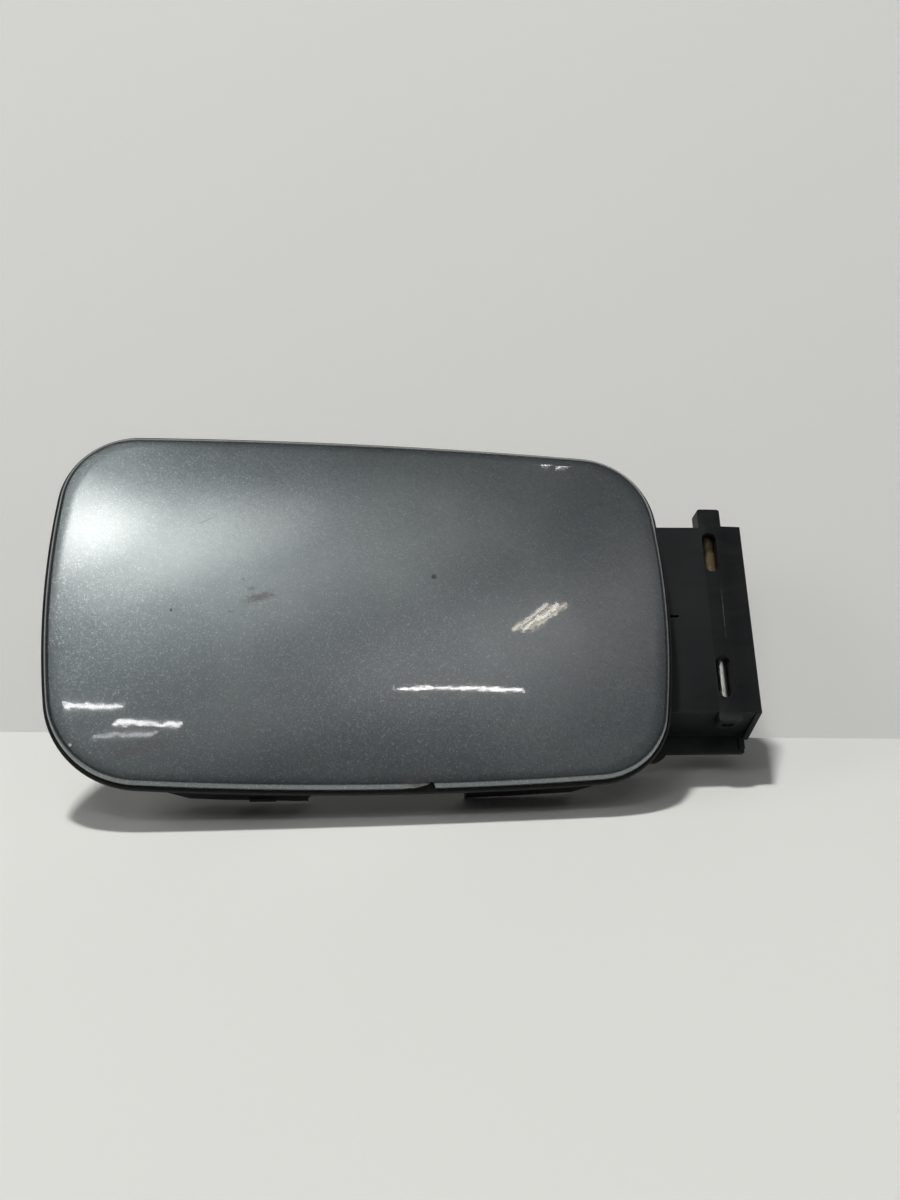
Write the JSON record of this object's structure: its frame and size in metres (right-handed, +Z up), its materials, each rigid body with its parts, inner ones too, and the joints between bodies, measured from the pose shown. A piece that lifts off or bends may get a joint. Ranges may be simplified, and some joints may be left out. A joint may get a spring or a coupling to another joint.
{
  "type": "car fuel door",
  "caption": "Painted car fuel flap with rounded corners on a moulded carrier, hung by a gooseneck arm on a steel pin in a black moulded hinge housing with a mounting flange.",
  "frame": {"origin": "midway between the two mounting holes, on the mounting face of the hinge housing's flange", "axes": "+X along the flap towards the hinge side, +Y into the car, +Z up along the hinge axis"},
  "size_m": [0.2462, 0.0507, 0.1289],
  "materials": {
    "paint": "metallic clear coat",
    "black_plastic": "fine grain",
    "rubber": "matt",
    "steel": "drawn",
    "zinc": "zinc plated",
    "acetal": "smooth"
  },
  "bodies": {
    "hinge_base": {"hinge_housing": "black_plastic", "hinge_pin": "steel", "check_spring": "steel", "spring_rivet_1": "steel", "spring_rivet_2": "steel", "mounting_sleeve_1": "zinc", "mounting_sleeve_2": "zinc"},
    "flap": {"outer_panel": "paint", "inner_carrier": "black_plastic", "edge_seal": "rubber", "hinge_arm": "black_plastic", "bush_upper": "acetal", "bush_lower": "acetal", "arm_screw_1": "zinc", "arm_screw_2": "zinc", "arm_screw_3": "zinc", "arm_screw_4": "zinc", "bump_stop_upper": "rubber", "bump_stop_lower": "rubber", "latch_striker": "zinc", "striker_screw_1": "zinc", "striker_screw_2": "zinc"}
  },
  "joints": [
    {"name": "flap_hinge", "type": "hinge", "parent": "hinge_base", "child": "flap", "pos_m": [0.041, -0.0164, 0], "axis": [0, 0, 1], "range_deg": [0, 98], "deforming": ["check_spring"]}
  ]
}
